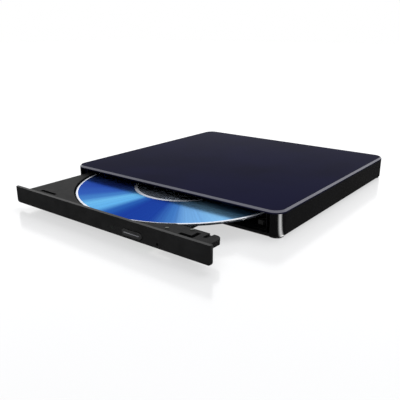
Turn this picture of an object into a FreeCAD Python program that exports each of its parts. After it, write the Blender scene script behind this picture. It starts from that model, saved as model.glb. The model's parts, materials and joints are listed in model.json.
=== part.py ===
import FreeCAD, Part
import os
import re

import Sketcher

# A slim USB optical drive with its tray drawn partly out.
# Every piece is drawn with the tray shut: X across, Y to the rear from the case's front face, Z up
# from the desk. Each piece's Placement then carries it to its place with the tray drawn out, in a
# frame whose origin is under the middle of the whole object.

os.makedirs("parts", exist_ok=True)
doc = FreeCAD.newDocument("optical_drive")

sizes = {
    # case
    "case_width": 144, "case_depth": 140, "case_height": 14, "case_wall": 2, "corner_radius": 6.5,
    "floor_thickness": 1.2, "cover_thickness": 1.6, "cover_bevel": 0.9, "edge_round": 0.8,
    "foot_height": 0.8, "foot_radius": 3.8, "foot_recess": 0.3,
    "boss_radius": 2.3, "boss_split": 5, "boss_inset": 0.3,
    "screw_radius": 1, "screw_head_radius": 1.8, "screw_head_height": 1, "screw_gap": 0.15,
    # drive inside the case
    "side_space": 6, "rear_space": 10.8, "front_space": 0.2, "sheet_steel": 0.5,
    "foam_thickness": 0.5, "lid_gap": 0.4, "skirt_depth": 3, "sheet_gap": 0.05,
    # tray
    "tray_out": 46, "bezel_thickness": 1.8, "bezel_reach": 2.5, "bezel_gap": 0.2, "slide_gap": 0.35,
    "shield_thickness": 0.25, "deck_drop": 2.1, "deck_thickness": 1, "deck_gap": 1.2,
    "tray_skin": 0.7, "tray_wall": 1.2, "cutaway_side": 36, "bar_depth": 15, "cutaway_rear": 60,
    "stub_thickness": 3.4, "front_corner": 0.8, "lower_corner": 1.6, "relief_side": 14, "relief_front": 70,
    # disc
    "disc_diameter": 120, "disc_thickness": 1.2, "disc_hole": 15, "disc_setback": 64.4,
    "disc_sink": 0.7, "disc_clearance": 0.4, "recess_margin": 1,
    # rails
    "rail_height": 2.2, "rail_bite": 1.2, "guide_thickness": 2, "guide_gap": 0.35, "fit_gap": 0.2,
    "rail_cover": 1.1, "guide_front": 20, "rail_front": 24, "rail_end": 3,
    # mechanism under the tray, in a frame centred on the disc and turned half a right angle
    "plate_thickness": 0.6, "plate_side": 22, "plate_front": 24, "plate_rear": 60.8,
    "window_side": 15.2, "rod_side": 16.6, "rod_radius": 0.75, "rod_drop": 1.2, "running_gap": 0.04,
    "rod_front": 12, "rod_rear": 59, "lens_start": 24, "lens_radius": 2, "screw_side": 20.6,
    "lead_radius": 1, "rotor_radius": 11, "rotor_wall": 0.8, "hub_radius": 7.3, "table_radius": 14,
    "shaft_radius": 1.5, "bearing_radius": 2.8, "claw_width": 2.2, "claw_nose": 0.6, "damper_radius": 1.7,
    # controls on the bezel
    "button_x": 22.5, "button_length": 12.4, "button_height": 3.2, "button_gap": 0.28, "button_proud": 0.35,
    "light_x": 9.5, "light_radius": 0.7, "control_drop": 5.9, "release_x": 37.7, "release_radius": 0.7,
    "latch_x": 28, "latch_y": 17, "plunger_gap": 0.15,
    # rear electronics
    "socket_x": -45, "board_thickness": 1.2, "board_lift": 2.4, "plug_x": 27, "plug_width": 35,
}

# Levels and edges that follow from the sizes above.
worked = {
    "floor_top": "foot_height + floor_thickness",
    "cover_bottom": "case_height - cover_thickness",
    "drive_bottom": "floor_top + foam_thickness",
    "drive_top": "cover_bottom - lid_gap",
    "pan_top": "drive_bottom + sheet_steel",
    "lid_bottom": "drive_top - sheet_steel",
    "shield_bottom": "pan_top + slide_gap",
    "tray_bottom": "shield_bottom + shield_thickness",
    "tray_top": "drive_top - deck_drop",
    "disc_top": "tray_top - disc_sink",
    "disc_bottom": "disc_top - disc_thickness",
    "recess_floor": "disc_bottom - disc_clearance",
    "ceiling": "recess_floor - tray_skin",
    "plate_top": "ceiling - 0.1",
    "plate_bottom": "plate_top - plate_thickness",
    "rod_z": "plate_bottom - rod_drop",
    "bezel_bottom": "pan_top - 0.1",
    "bezel_top": "drive_top + 0.1",
    "control_z": "bezel_top - control_drop",
    "lip_top": "bezel_bottom - bezel_gap",
    "drive_front": "case_wall + front_space",
    "drive_half": "case_width/2 - case_wall - side_space",
    "drive_rear": "case_depth - case_wall - rear_space",
    "wall_inner": "drive_half - sheet_steel",
    "bezel_half": "drive_half + bezel_reach",
    "guide_inner": "wall_inner - guide_thickness",
    "tray_half": "guide_inner - guide_gap",
    "deck_half": "wall_inner - deck_gap",
    "tray_rear": "drive_rear - 5.2",
    "groove_depth": "rail_bite + fit_gap",
    "rail_top": "tray_top - deck_thickness - rail_cover",
    "rail_bottom": "rail_top - rail_height",
    "boss_x": "case_width/2 - case_wall - boss_radius - boss_inset",
    "boss_front": "case_wall + boss_radius + 1.2",
    "boss_rear": "case_depth - boss_front",
    "cavity_half": "tray_half - groove_depth - 1.5",
    "recess_radius": "disc_diameter/2 + recess_margin",
    "bridge_bottom": "floor_top + board_lift",
    "bridge_top": "bridge_bottom + board_thickness",
}

sheet = doc.addObject("Spreadsheet::Sheet", "Sheet")
for row, (name, value) in enumerate(sizes.items(), start=1):
    sheet.set(f"A{row}", name)
    sheet.set(f"B{row}", str(value))
    sheet.setAlias(f"B{row}", name)
doc.recompute()


def sheet_text(text):
    """The expression in terms of the sheet's cells, with each worked-out name written out."""
    def swap(match):
        word = match.group(0)
        if word in worked:
            return "(" + sheet_text(worked[word]) + ")"
        return "Sheet." + word if word in sizes else word
    return re.sub(r"[a-z]\w*", swap, str(text))


def number(text):
    return float(sheet.evalExpression(sheet_text(text)))


def bind(item, path, text):
    item.setExpression(path, sheet_text(text))


# Primitives and booleans.

def block(x0, x1, y0, y1, z0, z1):
    solid = doc.addObject("Part::Box", "Block")
    for length, axis, low, high in (("Length", "x", x0, x1), ("Width", "y", y0, y1),
                                    ("Height", "z", z0, z1)):
        bind(solid, length, f"({high}) - ({low})")
        bind(solid, f"Placement.Base.{axis}", low)
    return solid


def rod(radius, start, end, at, axis="z"):
    """A round bar from start to end along an axis; at gives its two other coordinates in X, Y, Z order."""
    turns = {"x": (FreeCAD.Vector(0, 1, 0), 90), "y": (FreeCAD.Vector(1, 0, 0), -90),
             "z": (FreeCAD.Vector(0, 0, 1), 0)}
    solid = doc.addObject("Part::Cylinder", "Rod")
    solid.Placement = FreeCAD.Placement(FreeCAD.Vector(), FreeCAD.Rotation(*turns[axis]))
    bind(solid, "Radius", radius)
    bind(solid, "Height", f"({end}) - ({start})")
    bind(solid, f"Placement.Base.{axis}", start)
    for other, place in zip((letter for letter in "xyz" if letter != axis), at):
        bind(solid, f"Placement.Base.{other}", place)
    return solid


def cut(base, *tools):
    for tool in tools:
        result = doc.addObject("Part::Cut", "Cut")
        result.Base = base
        result.Tool = tool
        base = result
    return base


def fuse(*solids):
    result = doc.addObject("Part::MultiFuse", "Fuse")
    result.Shapes = list(solids)
    result.Refine = True
    return result


def group(*solids):
    result = doc.addObject("Part::Compound", "Group")
    result.Links = list(solids)
    return result


def tube(outer, inner, z0, z1, at=("0", "0")):
    return cut(rod(outer, z0, z1, at), rod(inner, f"({z0}) - 1", f"({z1}) + 1", at))


def pill(x, z, length, height, y0, y1):
    """A bar along Y whose section is a rectangle with half-round ends."""
    half = f"(({length}) - ({height}))/2"
    ends = [rod(f"({height})/2", y0, y1, (f"({x}) {sign} {half}", z), "y") for sign in "-+"]
    middle = block(f"({x}) - {half}", f"({x}) + {half}", y0, y1, f"({z}) - ({height})/2",
                   f"({z}) + ({height})/2")
    return fuse(middle, *ends)


# PartDesign bodies.

def new_body(name):
    return doc.addObject("PartDesign::Body", name + "_body")


def sketch(body, level, *shapes, turn=0, shift="0"):
    """A fixed sketch on the body's own XY plane: rectangles (4), circles (3) or lists of corners."""
    item = body.newObject("Sketcher::SketchObject", "Sketch")
    item.AttachmentSupport = [(next(o for o in body.Origin.OriginFeatures if o.Role == "XY_Plane"), "")]
    item.MapMode = "FlatFace"
    item.AttachmentOffset = FreeCAD.Placement(FreeCAD.Vector(),
                                              FreeCAD.Rotation(FreeCAD.Vector(0, 0, 1), turn))
    bind(item, "AttachmentOffset.Base.y", shift)
    bind(item, "AttachmentOffset.Base.z", level)
    for shape in shapes:
        if len(shape) == 3 and isinstance(shape, tuple):
            add_circle(item, *shape)
        else:
            corners = shape if isinstance(shape, list) else rectangle(*shape)
            add_outline(item, corners)
    return item


def rectangle(x0, x1, y0, y1):
    return [(x0, y0), (x1, y0), (x1, y1), (x0, y1)]


def hold(item, kind, places, text):
    index = item.addConstraint(Sketcher.Constraint(kind, *places, number(text)))
    bind(item, f"Constraints[{index}]", text)


def add_circle(item, x, y, radius):
    centre = FreeCAD.Vector(number(x), number(y), 0)
    index = item.addGeometry(Part.Circle(centre, FreeCAD.Vector(0, 0, 1), number(radius)))
    hold(item, "DistanceX", (-1, 1, index, 3), x)
    hold(item, "DistanceY", (-1, 1, index, 3), y)
    hold(item, "Radius", (index,), radius)


def add_outline(item, corners):
    points = [FreeCAD.Vector(number(x), number(y), 0) for x, y in corners]
    first = item.GeometryCount
    count = len(points)
    for step in range(count):
        item.addGeometry(Part.LineSegment(points[step], points[(step + 1) % count]))
    for step in range(count):
        item.addConstraint(Sketcher.Constraint("Coincident", first + step, 2, first + (step + 1) % count,
                                               1))
    for step, (x, y) in enumerate(corners):
        hold(item, "DistanceX", (-1, 1, first + step, 1), x)
        hold(item, "DistanceY", (-1, 1, first + step, 1), y)


def pad(body, level, top, *shapes, **where):
    feature_sketch = sketch(body, level, *shapes, **where)
    feature = body.newObject("PartDesign::Pad", "Pad")
    feature.Profile = feature_sketch
    bind(feature, "Length", f"({top}) - ({level})")
    doc.recompute()
    return feature


def pocket(body, level, top, *shapes, **where):
    """Takes the shapes out between two levels, and checks that something was taken."""
    before = body.Shape.Volume
    feature_sketch = sketch(body, level, *shapes, **where)
    feature = body.newObject("PartDesign::Pocket", "Pocket")
    feature.Profile = feature_sketch
    feature.Reversed = True
    bind(feature, "Length", f"({top}) - ({level})")
    doc.recompute()
    if body.Shape.Volume > before - 0.01:
        raise RuntimeError(f"{body.Name}: a pocket took nothing away")
    return feature


def dress(body, kind, size_name, text, wanted):
    base = body.Tip
    names = [f"Edge{index}" for index, edge in enumerate(base.Shape.Edges, start=1) if wanted(edge)]
    if not names:
        raise RuntimeError(f"{body.Name}: no edge to dress")
    feature = body.newObject(f"PartDesign::{kind}", kind)
    feature.Base = (base, names)
    bind(feature, size_name, text)
    doc.recompute()


def upright_at(edge, half_x, y_values, tolerance=0.01):
    """True for an upright edge at plus or minus half_x and one of the y values."""
    box = edge.BoundBox
    if box.XLength > tolerance or box.YLength > tolerance:
        return False
    return abs(abs(box.XMin) - half_x) < tolerance and any(abs(box.YMin - y) < tolerance for y in y_values)


def flat_at(edge, level):
    box = edge.BoundBox
    return abs(box.ZMin - level) < 0.001 and abs(box.ZMax - level) < 0.001


# Finished pieces, each with its label and its place.

pieces = {}
carried = {"case": "0", "rail": "0.5", "tray": "1"}


def finish(name, item, carrier="case", turned=False):
    """Names a piece and puts it where the thing that carries it stands: case, rail or tray."""
    if item.TypeId in ("Part::Box", "Part::Cylinder"):
        item = group(item)
    item.Label = name
    along = f"-(case_depth - tray_out)/2 - {carried[carrier]}*tray_out"
    if turned:
        item.Placement = FreeCAD.Placement(FreeCAD.Vector(), FreeCAD.Rotation(FreeCAD.Vector(0, 0, 1), 45))
        along += " + disc_setback"
    bind(item, "Placement.Base.y", along)
    pieces[name] = item


# Case.

corner_places = [(f"{sign}boss_x", y) for sign in ("", "-") for y in ("boss_front", "boss_rear")]
outline = ("-case_width/2", "case_width/2", "0", "case_depth")


def make_top_cover():
    body = new_body("top_cover")
    pad(body, "cover_bottom", "case_height", outline)
    half, ends = number("case_width/2"), (0, number("case_depth"))
    dress(body, "Fillet", "Radius", "corner_radius", lambda e: upright_at(e, half, ends))
    dress(body, "Chamfer", "Size", "cover_bevel", lambda e: flat_at(e, number("case_height")))
    pad(body, "boss_split", "cover_bottom", *[(x, y, "boss_radius") for x, y in corner_places])
    pocket(body, "boss_split", "cover_bottom - 1", *[(x, y, "screw_radius") for x, y in corner_places])
    finish("top_cover", body)


def make_bottom_case():
    body = new_body("bottom_case")
    pad(body, "foot_height", "cover_bottom", outline)
    half, ends = number("case_width/2"), (0, number("case_depth"))
    dress(body, "Fillet", "Radius", "corner_radius", lambda e: upright_at(e, half, ends))
    dress(body, "Fillet", "Radius", "edge_round", lambda e: flat_at(e, number("foot_height")))
    inside = ("-case_width/2 + case_wall", "case_width/2 - case_wall", "case_wall",
              "case_depth - case_wall")
    pocket(body, "floor_top", "cover_bottom + 1", inside)
    inner_half = number("case_width/2 - case_wall")
    inner_ends = (number("case_wall"), number("case_depth - case_wall"))
    dress(body, "Fillet", "Radius", "corner_radius - case_wall",
          lambda e: upright_at(e, inner_half, inner_ends))
    pocket(body, "lip_top", "cover_bottom + 1",
           ("-bezel_half - bezel_gap", "bezel_half + bezel_gap", "-1", "case_wall + 0.5"))
    pocket(body, "bridge_top - 0.4", "bridge_top + 4.3",
           ("socket_x - 4.5", "socket_x + 4.5", "case_depth - case_wall - 0.5", "case_depth + 1"))
    pad(body, "floor_top", "boss_split", *[(x, y, "boss_radius") for x, y in corner_places])
    pocket(body, "foot_height - 1", "foot_height + foot_recess",
           *[(x, y, "foot_radius + 0.2") for x, y in corner_places])
    pocket(body, "foot_height", "floor_top + 0.4",
           *[(x, y, "screw_head_radius + screw_gap") for x, y in corner_places])
    pocket(body, "foot_height", "boss_split + 1",
           *[(x, y, "screw_radius + screw_gap") for x, y in corner_places])
    pad(body, "floor_top", "bridge_bottom",
        *[(x, "drive_rear + 6.5", "1.5") for x in ("-58", "0", "plug_x + 22")])
    finish("bottom_case", body)


def make_case_fittings():
    feet = [rod("foot_radius", "0", "foot_height + foot_recess", place) for place in corner_places]
    finish("rubber_feet", group(*feet))
    head_bottom = "floor_top + 0.4 - screw_head_height"
    screws = []
    for place in corner_places:
        head = rod("screw_head_radius", head_bottom, "floor_top + 0.4", place)
        shank = rod("screw_radius", "floor_top + 0.4", "cover_bottom - 2", place)
        slot = block(f"{place[0]} - 1.2", f"{place[0]} + 1.2", f"{place[1]} - 0.25", f"{place[1]} + 0.25",
                     f"{head_bottom} - 1", f"{head_bottom} + 0.5")
        screws.append(cut(fuse(head, shank), slot))
    finish("case_screws", group(*screws))
    pads = [block(f"{x} - 4", f"{x} + 4", "drive_front + 6", "drive_rear - 6", "floor_top", "drive_bottom")
            for x in ("-drive_half + 14", "0", "drive_half - 14")]
    finish("foam_pads", group(*pads))


def make_bridge_board():
    y0, y1 = "drive_rear + 1", "case_depth - case_wall - 0.3"
    finish("usb_bridge_board", block("-62", "plug_x + 25", y0, y1, "bridge_bottom", "bridge_top"))
    finish("bridge_chip",
           block("-22", "-15", "drive_rear + 1.8", "drive_rear + 8.8", "bridge_top", "bridge_top + 1"))
    small = [block(f"{x}", f"{x} + 1.6", "drive_rear + 3", "drive_rear + 3.9", "bridge_top",
                   "bridge_top + 0.6")
             for x in (-34, -31, -28, -11, -8, -5)]
    finish("bridge_passives", group(*small))
    low, high = "bridge_top", "bridge_top + 3.9"
    shell = block("socket_x - 3.9", "socket_x + 3.9", y0, "case_depth - 0.5", low, high)
    hollow = block("socket_x - 3.5", "socket_x + 3.5", f"{y0} + 0.6", "case_depth", f"{low} + 0.35",
                   f"{high} - 0.35")
    finish("usb_socket", cut(shell, hollow))
    tongue = block("socket_x - 2.6", "socket_x + 2.6", f"{y0} + 0.6", "case_depth - 2", f"{low} + 1.4",
                   f"{low} + 2.2")
    finish("usb_tongue", tongue)
    half = "plug_width/2"
    plug_body = block(f"plug_x - {half}", f"plug_x + {half}", "drive_rear + 0.3", "drive_rear + 4.3",
                      "bridge_top", "bridge_top + 3.2")
    blade = block(f"plug_x - {half} + 2", f"plug_x + {half} - 2", "drive_rear - 1.6", "drive_rear + 0.3",
                  "bridge_top + 0.8", "bridge_top + 2")
    finish("bridge_plug", fuse(plug_body, blade))


# Drive: the parts that stay still inside the case.

def make_drive_shell():
    body = new_body("drive_chassis")
    pad(body, "drive_bottom", "lid_bottom", ("-drive_half", "drive_half", "drive_front", "drive_rear"))
    pocket(body, "pan_top", "lid_bottom + 1",
           ("-wall_inner", "wall_inner", "drive_front - 1", "drive_rear - sheet_steel"))
    half = "(plug_width/2 + sheet_gap)"
    pocket(body, "bridge_top - 1.25", "bridge_top + 3.05",
           (f"plug_x - {half}", f"plug_x + {half}", "drive_rear - sheet_steel - 0.5", "drive_rear + 1"))
    pad(body, "pan_top", "shield_bottom + 1.85", ("latch_x + 5.1", "25", "1.1"))
    finish("drive_chassis", body)

    top = block("-drive_half - sheet_gap - sheet_steel", "drive_half + sheet_gap + sheet_steel",
                "drive_front", "drive_rear",
                "lid_bottom", "drive_top")
    skirts = [block(x0, x1, "drive_front + 2", "drive_rear - 2", "lid_bottom - skirt_depth", "lid_bottom")
              for x0, x1 in (("-drive_half - sheet_gap - sheet_steel", "-drive_half - sheet_gap"),
                             ("drive_half + sheet_gap", "drive_half + sheet_gap + sheet_steel"))]
    finish("drive_lid", fuse(top, *skirts))


def make_guides():
    for side, sign in (("left", "-"), ("right", "")):
        faces = [f"{sign}wall_inner", f"{sign}guide_inner"]
        groove = [f"{sign}(guide_inner - 1)", f"{sign}(guide_inner + groove_depth)"]
        rail_faces = [f"{sign}(tray_half - rail_bite)", f"{sign}(guide_inner + rail_bite)"]
        for pair in (faces, groove, rail_faces):
            pair.sort(key=number)
        low, high = "rail_bottom - fit_gap", "rail_top + fit_gap"
        bar = block(*faces, "guide_front", "drive_rear - 3", f"{low} - 1", f"{high} + 0.6")
        slot = block(*groove, "guide_front - 1", "drive_rear - 5", low, high)
        finish(f"{side}_guide", cut(bar, slot))
        rail = block(*rail_faces, "rail_front", "drive_rear - rail_end - 2.2", "rail_bottom", "rail_top")
        finish(f"{side}_rail", rail, "rail")


def make_main_board():
    board_top = "pan_top + 1.1"
    finish("main_board", block("16", "relief_side + 44", "relief_front + 16", "drive_rear - 6.2",
                               "pan_top + 0.3", board_top))
    legs = [("22", "relief_front + 20", "9"), ("36", "relief_front + 22", "12"),
            ("24", "relief_front + 36", "7"),
            ("48", "relief_front + 30", "6")]
    chips = [block(x, f"{x} + {wide}", y, f"{y} + {wide}", board_top, f"{board_top} + 0.9") for x, y,
             wide in legs]
    finish("main_chips", group(*chips))
    finish("ribbon_connector",
           block("16.5", "33.5", "relief_front + 16", "relief_front + 19", board_top, f"{board_top} + 1.1"))
    half = "plug_width/2"
    housing = block(f"plug_x - {half}", f"plug_x + {half}", "drive_rear - 2.5", "drive_rear",
                    "bridge_top - 1.2", "bridge_top + 3")
    mouth = block(f"plug_x - {half} + 1.8", f"plug_x + {half} - 1.8", "drive_rear - 1.9", "drive_rear + 1",
                  "bridge_top + 0.6", "bridge_top + 2.2")
    finish("drive_connector", cut(housing, mouth))


# Tray and what it carries.

shield_posts = [("-10", "10"), ("-54", "12"), ("8", "tray_rear - 5")]
damper_places = [("-19.5", "-20"), ("19.5", "-20"), ("-19.9", "46")]


def make_tray():
    body = new_body("tray")
    front = "bezel_thickness"
    pad(body, "tray_bottom", "tray_top", ("-tray_half", "tray_half", front, "tray_rear"))
    pad(body, "tray_top - deck_thickness", "tray_top", ("-deck_half", "deck_half", front, "tray_rear"))
    pocket(body, "tray_bottom - 1", "tray_top + 1",
           ("cutaway_side", "deck_half + 1", "bar_depth", "cutaway_rear"))
    rear_y = number("tray_rear")
    dress(body, "Fillet", "Radius", "tray_wall", lambda e: upright_at(e, number("deck_half"), (rear_y,)))
    dress(body, "Fillet", "Radius", "3.5",
          lambda e: upright_at(e, number("deck_half"), (number("bar_depth"),)) and e.BoundBox.XMin > 0)
    # The cavity under the tray leaves a front wall, a rear wall, and side walls that hold the rail grooves.
    cavity_front = "bezel_thickness + tray_wall"
    pocket(body, "tray_bottom - 1", "ceiling",
           ("-cavity_half", "cutaway_side - tray_wall", cavity_front, "tray_rear - tray_wall"))
    pocket(body, "tray_bottom - 1", "ceiling", ("cutaway_side - tray_wall - 1", "cavity_half",
                                                "cutaway_rear + tray_wall", "tray_rear - tray_wall"))
    pocket(body, "tray_bottom - 1", "tray_top - stub_thickness",
           ("cutaway_side + 6", "deck_half + 1", front, "bar_depth + 1"))
    pocket(body, "tray_bottom - 1", "tray_top - stub_thickness",
           ("cutaway_side - tray_wall - 1", "cutaway_side + 6.5", cavity_front, "bar_depth - tray_wall"))
    pocket(body, "tray_bottom - 1", "tray_bottom + 2.2",
           ("relief_side", "cavity_half + 0.2", "relief_front", "tray_rear + 1"))
    for sign in ("-", ""):
        sides = sorted([f"{sign}(tray_half - groove_depth)", f"{sign}(tray_half + 1)"], key=number)
        start = "rail_front - 2" if sign else "cutaway_rear - 1"
        level = ("rail_bottom - fit_gap", "rail_top + fit_gap")
        pocket(body, *level, (*sides, start, "tray_rear + 1"))
    # The disc's recess, the motor's hole and the pickup's window.
    pocket(body, "recess_floor", "tray_top + 1", ("0", "disc_setback", "recess_radius"))
    pocket(body, "ceiling - 1", "recess_floor + 0.1", ("0", "disc_setback", "table_radius + 1.5"))
    pocket(body, "ceiling - 1", "recess_floor", ("-window_side", "window_side", "10", "plate_rear + 1"),
           turn=45, shift="disc_setback")
    # Slots in the top: one beside the disc, a line behind the bezel, and steps on the stub.
    pocket(body, "tray_top - 1.2", "tray_top + 1", ("-54.8", "-42.5", "7.2", "9.2"))
    pocket(body, "tray_top - 0.5", "tray_top + 1", ("-42.5", "44", "2.5", "3"))
    pocket(body, "tray_top - 1.6", "tray_top + 1", ("44.5", "52.5", "6", "8.2"))
    pocket(body, "tray_top - 1.6", "tray_top + 1", ("50.3", "52.5", "8.2", "12.4"))
    pocket(body, "tray_top - 0.9", "tray_top + 1", ("55.2", "57.4", "9.6", "bar_depth + 1"))
    # Behind the bezel: room for the button's flange, the light pipe and the release pin.
    pocket(body, "control_z - 2.8", "control_z + 2.6",
           ("button_x - button_length/2 - 1.6", "button_x + button_length/2 + 1.6", "0", "3.7"))
    pocket(body, "control_z - light_radius - 0.3", "control_z + light_radius + 0.2",
           ("light_x - 1", "light_x + 1", "0", "4.5"))
    pocket(body, "bezel_top - control_drop - 2", "bezel_top - control_drop - 0.2",
           ("release_x - 0.9", "release_x + 0.9", "0", "4"))
    # Posts for the shield's screws, screw holes over the dampers, and the plunger's housing.
    pad(body, "tray_bottom", "ceiling", *[(x, y, "2") for x, y in shield_posts])
    pocket(body, "tray_bottom - 1", "ceiling - 0.6", *[(x, y, "0.8") for x, y in shield_posts])
    pocket(body, "ceiling - 0.1", "ceiling + 0.4", *[(x, y, "0.8") for x, y in damper_places], turn=45,
           shift="disc_setback")
    pad(body, "tray_bottom + 0.2", "ceiling", ("-57", "-51", "tray_rear - 14", "tray_rear - 0.5"))
    bored = cut(body, rod("1 + plunger_gap", "tray_rear - 11.3", "tray_rear + 1",
                          ("-54", "tray_bottom + 1.7"), "y"))
    finish("tray", bored, "tray")


def rounded(base, radius_name, wanted):
    """A Part fillet on the base's edges whose bounding boxes are wanted."""
    feature = doc.addObject("Part::Fillet", "Rounded")
    feature.Base = base
    doc.recompute()
    radius = number(radius_name)
    feature.Edges = [(index, radius, radius) for index, edge in enumerate(base.Shape.Edges, start=1)
                     if wanted(edge.BoundBox)]
    return feature


def make_bezel():
    plate = block("-bezel_half", "bezel_half", "0", "bezel_thickness", "bezel_bottom", "bezel_top")
    lower = rounded(plate, "lower_corner", lambda box: box.YLength > 1 and box.ZMax < number("control_z"))
    front = rounded(lower, "front_corner", lambda box: box.YMax < 0.01 and box.XLength < 0.01)
    window = pill("button_x", "control_z", "button_length + 2*button_gap", "button_height + 2*button_gap",
                  "-1", "bezel_thickness + 1")
    light = rod("light_radius + 0.05", "-1", "bezel_thickness + 1", ("light_x", "control_z"), "y")
    release = rod("release_radius", "-1", "bezel_thickness + 1", ("release_x", "control_z - 1.1"), "y")
    finish("tray_bezel", cut(front, window, light, release), "tray")


def make_controls():
    head = pill("button_x", "control_z", "button_length", "button_height", "-button_proud",
                "bezel_thickness + 0.15")
    flange = pill("button_x", "control_z", "button_length + 1.6", "button_height + 1.4",
                  "bezel_thickness + 0.15", "bezel_thickness + 0.7")
    stem = block("button_x - 1", "button_x + 1", "bezel_thickness + 0.7", "bezel_thickness + 1.6",
                 "control_z - 1.5", "control_z - 0.3")
    finish("eject_button", fuse(head, flange, stem), "tray")
    finish("light_pipe", rod("light_radius", "0", "4.4", ("light_x", "control_z"), "y"), "tray")
    board_top = "tray_bottom + 1.1"
    finish("tray_board", block("2", "button_x + 3", "5", "14", "tray_bottom + 0.3", board_top), "tray")
    switch = fuse(block("button_x - 2.5", "button_x + 2.5", "5", "8.5", board_top, "control_z + 0.4"),
                  block("button_x - 0.8", "button_x + 0.8", "4.35", "5", "control_z - 1.5",
                        "control_z - 0.3"))
    finish("eject_switch", switch, "tray")
    finish("status_light",
           block("light_x - 0.8", "light_x + 0.8", "4.5", "6.1", board_top, "control_z + 0.5"), "tray")


def make_shield():
    plate = block("-cavity_half - 1", "relief_side - 1.5", "5", "tray_rear - 2", "shield_bottom",
                  "tray_bottom")
    holes = [rod("1.2", "shield_bottom - 1", "tray_bottom + 1", place) for place in shield_posts]
    finish("bottom_shield", cut(plate, *holes), "tray")
    screws = [rod("0.8", "shield_bottom", "ceiling - 0.8", place) for place in shield_posts]
    finish("shield_screws", group(*screws), "tray")


def make_latch():
    z0, z1 = "shield_bottom + 0.55", "shield_bottom + 1.75"
    pivot = ("latch_x", "latch_y")
    finish("latch_pin", rod("0.9", "shield_bottom + 0.35", "ceiling", pivot), "tray")
    arm = block("latch_x - 1.4", "latch_x + 1.4", "latch_y - 11", "latch_y + 11.4", z0, z1)
    hook = block("latch_x + 1.4", "latch_x + 5.7", "latch_y + 9.7", "latch_y + 11.4", z0, z1)
    tab = block("latch_x + 1.4", "release_x + 1.3", "latch_y - 11", "latch_y - 9.4", z0, z1)
    hole = rod("0.9 + running_gap", f"{z0} - 1", f"{z1} + 1", pivot)
    finish("latch_lever", cut(fuse(arm, hook, tab), hole), "tray")
    coil = rod("1.2", "latch_x - 12", "latch_x - 4.5", ("20", "shield_bottom + 1.95"), "x")
    frame = cut(block("latch_x - 13", "latch_x - 3.5", "18.4", "21.6", "shield_bottom + 0.45",
                      "shield_bottom + 3.4"),
                block("latch_x - 12", "latch_x - 4.5", "18", "22", "shield_bottom + 0.65",
                      "shield_bottom + 4"))
    finish("latch_coil", coil, "tray")
    finish("latch_yoke", frame, "tray")
    plunger = rod("1", "tray_rear - 8", "tray_rear + 3", ("-54", "tray_bottom + 1.7"), "y")
    finish("eject_plunger", plunger, "tray")


# The mechanism, in the turned frame: its X across the pickup's path, its Y out along it.

def make_traverse():
    body = new_body("traverse_plate")
    shape = [("-plate_side", "-plate_front"), ("plate_side", "-plate_front"), ("plate_side", "50"),
             ("rod_side + 1.6", "plate_rear"), ("-rod_side - 1.6", "plate_rear"), ("-plate_side", "50")]
    pad(body, "plate_bottom", "plate_top", shape)
    pocket(body, "plate_bottom - 1", "plate_top + 1", ("0", "0", "rotor_radius + 0.9"))
    pocket(body, "plate_bottom - 1", "plate_top + 1",
           ("-window_side", "window_side", "9", "plate_rear - 0.9"))
    pocket(body, "plate_bottom - 1", "plate_top + 1",
           *[(x, y, "damper_radius + 0.1") for x, y in damper_places])
    for sign in "-+":
        sides = sorted([f"{sign}(rod_side - 1.3)", f"{sign}(rod_side + 1.6)"], key=number)
        pad(body, "rod_z - 1", "plate_bottom", (*sides, "rod_front - 1.5", "rod_front"))
        pad(body, "rod_z - 1", "plate_bottom", (*sides, "rod_rear", "rod_rear + 1.5"))
    finish("traverse_plate", body, "tray", True)


def make_traverse_fittings():
    dampers = [tube("damper_radius", "0.8", "plate_bottom - 0.7", "ceiling",
                    place) for place in damper_places]
    finish("dampers", group(*dampers), "tray", True)
    screws = [fuse(rod("1.6", "plate_bottom - 1.1", "plate_bottom - 0.7", place),
                   rod("0.75", "plate_bottom - 0.7", "ceiling + 0.35", place))
              for place in damper_places]
    finish("traverse_screws", group(*screws), "tray", True)
    for name, x in (("main_rod", "-rod_side"), ("side_rod", "rod_side")):
        finish(name, rod("rod_radius", "rod_front", "rod_rear", (x, "rod_z"), "y"), "tray", True)
    motor = block("screw_side - 2.3", "screw_side + 4.4", "4", "16", "rod_z - 1.25", "plate_bottom - 0.1")
    finish("sled_motor", motor, "tray", True)
    finish("lead_screw", rod("lead_radius", "16.05", "rod_rear - 1.7", ("screw_side", "rod_z"), "y"),
           "tray", True)


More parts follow.
